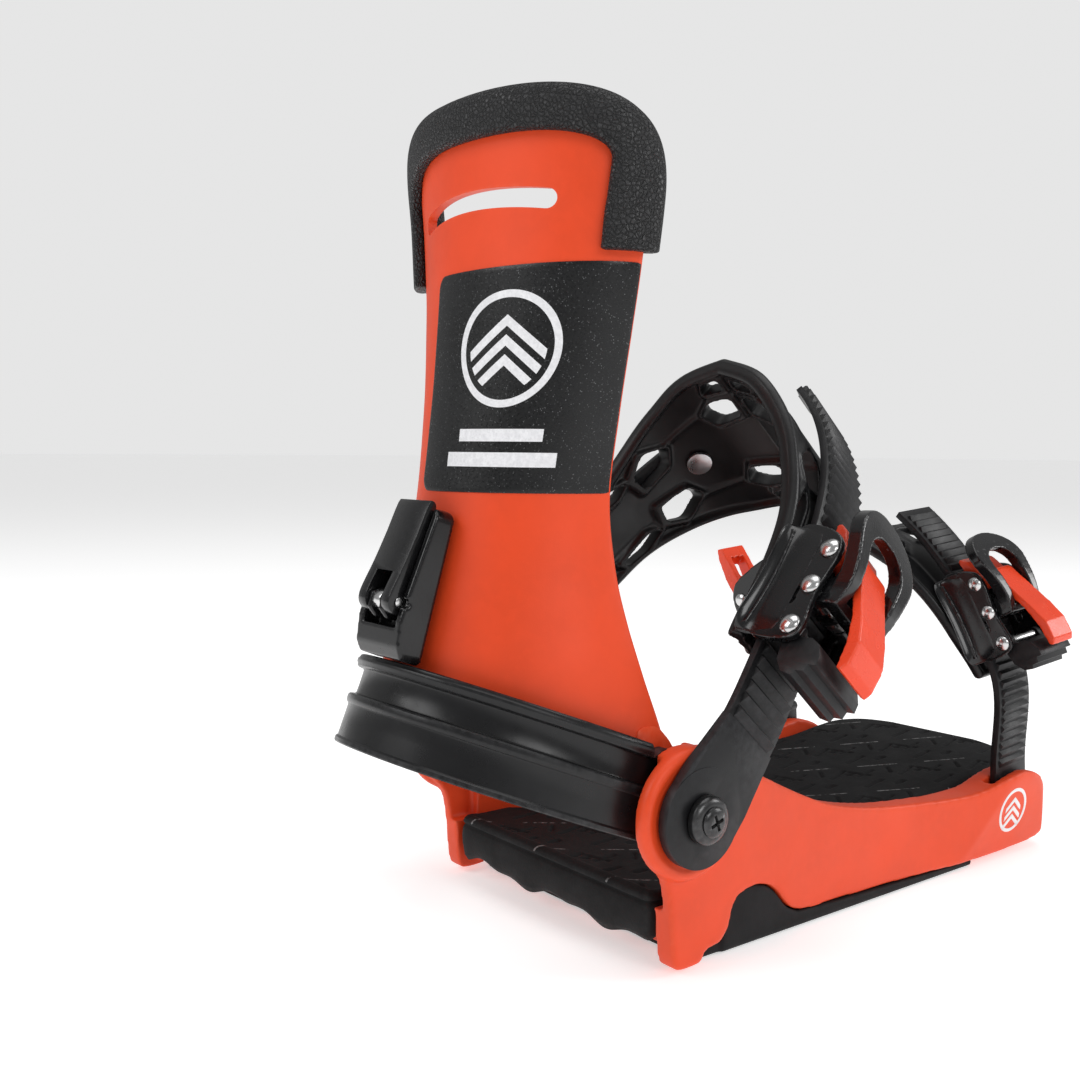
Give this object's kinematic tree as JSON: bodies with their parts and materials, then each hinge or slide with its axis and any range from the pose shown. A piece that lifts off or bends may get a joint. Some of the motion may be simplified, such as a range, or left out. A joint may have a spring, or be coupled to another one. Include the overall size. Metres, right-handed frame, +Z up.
{
  "type": "snowboard strap binding",
  "caption": "Soft-boot strap binding with moulded base, curved heel hoop, folding highback with lean block, ratcheting ankle and toe straps, and a rotating mounting disc.",
  "frame": {"origin": "centre of the mounting disc on the plane of the board", "axes": "+X towards the outer (buckle) side, +Y towards the toe, +Z up away from the board"},
  "size_m": [0.1859, 0.2981, 0.2681],
  "materials": {
    "orange_plastic": "satin moulded nylon, fine grain",
    "black_plastic": "satin",
    "black_gloss": "gloss black",
    "black_alloy": "black anodised satin",
    "black_alloy_gloss": "black painted, semi-gloss",
    "black_foam": "moulded foam",
    "black_rubber": "matte",
    "soft_black": "soft-touch satin",
    "grained_foam": "pebble grain",
    "black_speckle": "speckled matte",
    "chrome_steel": "bright",
    "zinc_steel": "zinc plated",
    "black_steel": "black oxide"
  },
  "bodies": {
    "base": {"base_frame": "orange_plastic", "base_gasket": "black_rubber", "heel_pad": "black_foam", "toe_footbed": "black_foam", "heel_hoop": "black_alloy", "hoop_screws": "zinc_steel", "hub_barrel_nuts": "black_gloss", "hub_screws": "black_steel", "hub_washers": "black_gloss", "toe_pivot_screws": "black_steel"},
    "disc": {"mounting_disc": "black_plastic"},
    "highback": {"highback_shell": "orange_plastic", "highback_rim_pad": "grained_foam", "highback_panel": "black_speckle"},
    "lean_adjuster": {"lean_block": "black_gloss", "lean_lever_pin": "chrome_steel", "lean_clamp_plate": "zinc_steel", "lean_clamp_screw": "zinc_steel"},
    "lean_lever_body": {"lean_lever": "black_gloss"},
    "ankle_outer_strap": {"ankle_ladder": "black_plastic"},
    "ankle_inner_strap": {"ankle_strap_lower": "black_plastic"},
    "ankle_pad_body": {"ankle_strap_upper": "black_plastic", "ankle_pad": "soft_black", "ankle_length_nut": "black_gloss", "ankle_length_screw": "zinc_steel", "ankle_buckle_frame": "black_gloss", "ankle_buckle_nose": "black_plastic", "ankle_buckle_rivets": "chrome_steel", "ankle_buckle_screws": "zinc_steel"},
    "ankle_lever": {"ankle_ratchet_lever": "black_alloy_gloss", "ankle_drive_pawl": "zinc_steel"},
    "ankle_release": {"ankle_release_lever": "orange_plastic", "ankle_holding_pawl": "zinc_steel"},
    "toe_outer_strap": {"toe_ladder": "black_plastic"},
    "toe_inner_strap": {"toe_strap_root": "black_plastic"},
    "toe_pad_body": {"toe_strap_connector": "black_plastic", "toe_pad": "soft_black", "toe_adjuster_housing": "black_gloss", "toe_adjuster_pin": "chrome_steel", "toe_buckle_frame": "black_gloss", "toe_buckle_nose": "black_plastic", "toe_buckle_rivets": "chrome_steel", "toe_buckle_screws": "zinc_steel"},
    "toe_clip": {"toe_adjuster_clip": "orange_plastic"},
    "toe_lever": {"toe_ratchet_lever": "black_alloy_gloss", "toe_drive_pawl": "zinc_steel"},
    "toe_release": {"toe_release_lever": "orange_plastic", "toe_holding_pawl": "zinc_steel"}
  },
  "joints": [
    {"name": "stance_turn", "type": "hinge", "parent": "base", "child": "disc", "pos_m": [0, 0, 0], "axis": [0, 0, 1], "continuous": true},
    {"name": "highback_fold", "type": "hinge", "parent": "base", "child": "highback", "pos_m": [0, -0.101, 0.0505], "axis": [-1, 0, 0], "range_deg": [0, 18]},
    {"name": "lean_slide", "type": "slide", "parent": "highback", "child": "lean_adjuster", "axis": [0, 0.2756, 0.9613], "range_m": [0, 0.009]},
    {"name": "lean_lever_flip", "type": "hinge", "parent": "lean_adjuster", "child": "lean_lever_body", "pos_m": [0, -0.16959, 0.11421], "axis": [1, 0, 0], "range_deg": [0, 100]},
    {"name": "ankle_swing", "type": "hinge", "parent": "base", "child": "ankle_inner_strap", "pos_m": [0, -0.101, 0.0505], "axis": [1, 0, 0], "range_deg": [-4, 8]},
    {"name": "ankle_ladder_swing", "type": "hinge", "parent": "base", "child": "ankle_outer_strap", "pos_m": [0, -0.101, 0.0505], "axis": [1, 0, 0], "range_deg": [-4, 8]},
    {"name": "ankle_open", "type": "hinge", "parent": "ankle_inner_strap", "child": "ankle_pad_body", "pos_m": [-0.0575, -0.05282, 0.10401], "axis": [0, -0.7431, 0.6691], "range_deg": [0, 75]},
    {"name": "ankle_lever_pull", "type": "hinge", "parent": "ankle_pad_body", "child": "ankle_lever", "pos_m": [0.07487, -0.04896, 0.1083], "axis": [0, 0.7431, -0.6691], "range_deg": [0, 70]},
    {"name": "ankle_release_pull", "type": "hinge", "parent": "ankle_pad_body", "child": "ankle_release", "pos_m": [0.07424, -0.03926, 0.11907], "axis": [0, -0.7431, 0.6691], "range_deg": [0, 15], "stiffness_Nm_per_rad": 0.05, "springref_deg": -34.38},
    {"name": "toe_swing", "type": "hinge", "parent": "base", "child": "toe_inner_strap", "pos_m": [0, 0.084, 0.022], "axis": [1, 0, 0], "range_deg": [-8, 5]},
    {"name": "toe_ladder_swing", "type": "hinge", "parent": "base", "child": "toe_outer_strap", "pos_m": [0, 0.084, 0.022], "axis": [1, 0, 0], "range_deg": [-8, 5]},
    {"name": "toe_open", "type": "hinge", "parent": "toe_inner_strap", "child": "toe_pad_body", "pos_m": [-0.0582, 0.08252, 0.03894], "axis": [0, -0.9962, -0.0872], "range_deg": [0, 60]},
    {"name": "toe_clip_flip", "type": "hinge", "parent": "toe_pad_body", "child": "toe_clip", "pos_m": [-0.0715, 0.07794, 0.09124], "axis": [0, -0.9962, -0.0872], "range_deg": [0, 60]},
    {"name": "toe_lever_pull", "type": "hinge", "parent": "toe_pad_body", "child": "toe_lever", "pos_m": [0.05872, 0.07719, 0.09983], "axis": [0, 0.9962, 0.0872], "range_deg": [0, 70]},
    {"name": "toe_release_pull", "type": "hinge", "parent": "toe_pad_body", "child": "toe_release", "pos_m": [0.05321, 0.07627, 0.11032], "axis": [0, -0.9962, -0.0872], "range_deg": [0, 15], "stiffness_Nm_per_rad": 0.05, "springref_deg": -34.38}
  ],
  "couplings": [
    {"joint": "ankle_ladder_swing", "follows": "ankle_swing", "ratio": 1},
    {"joint": "toe_ladder_swing", "follows": "toe_swing", "ratio": 1}
  ]
}
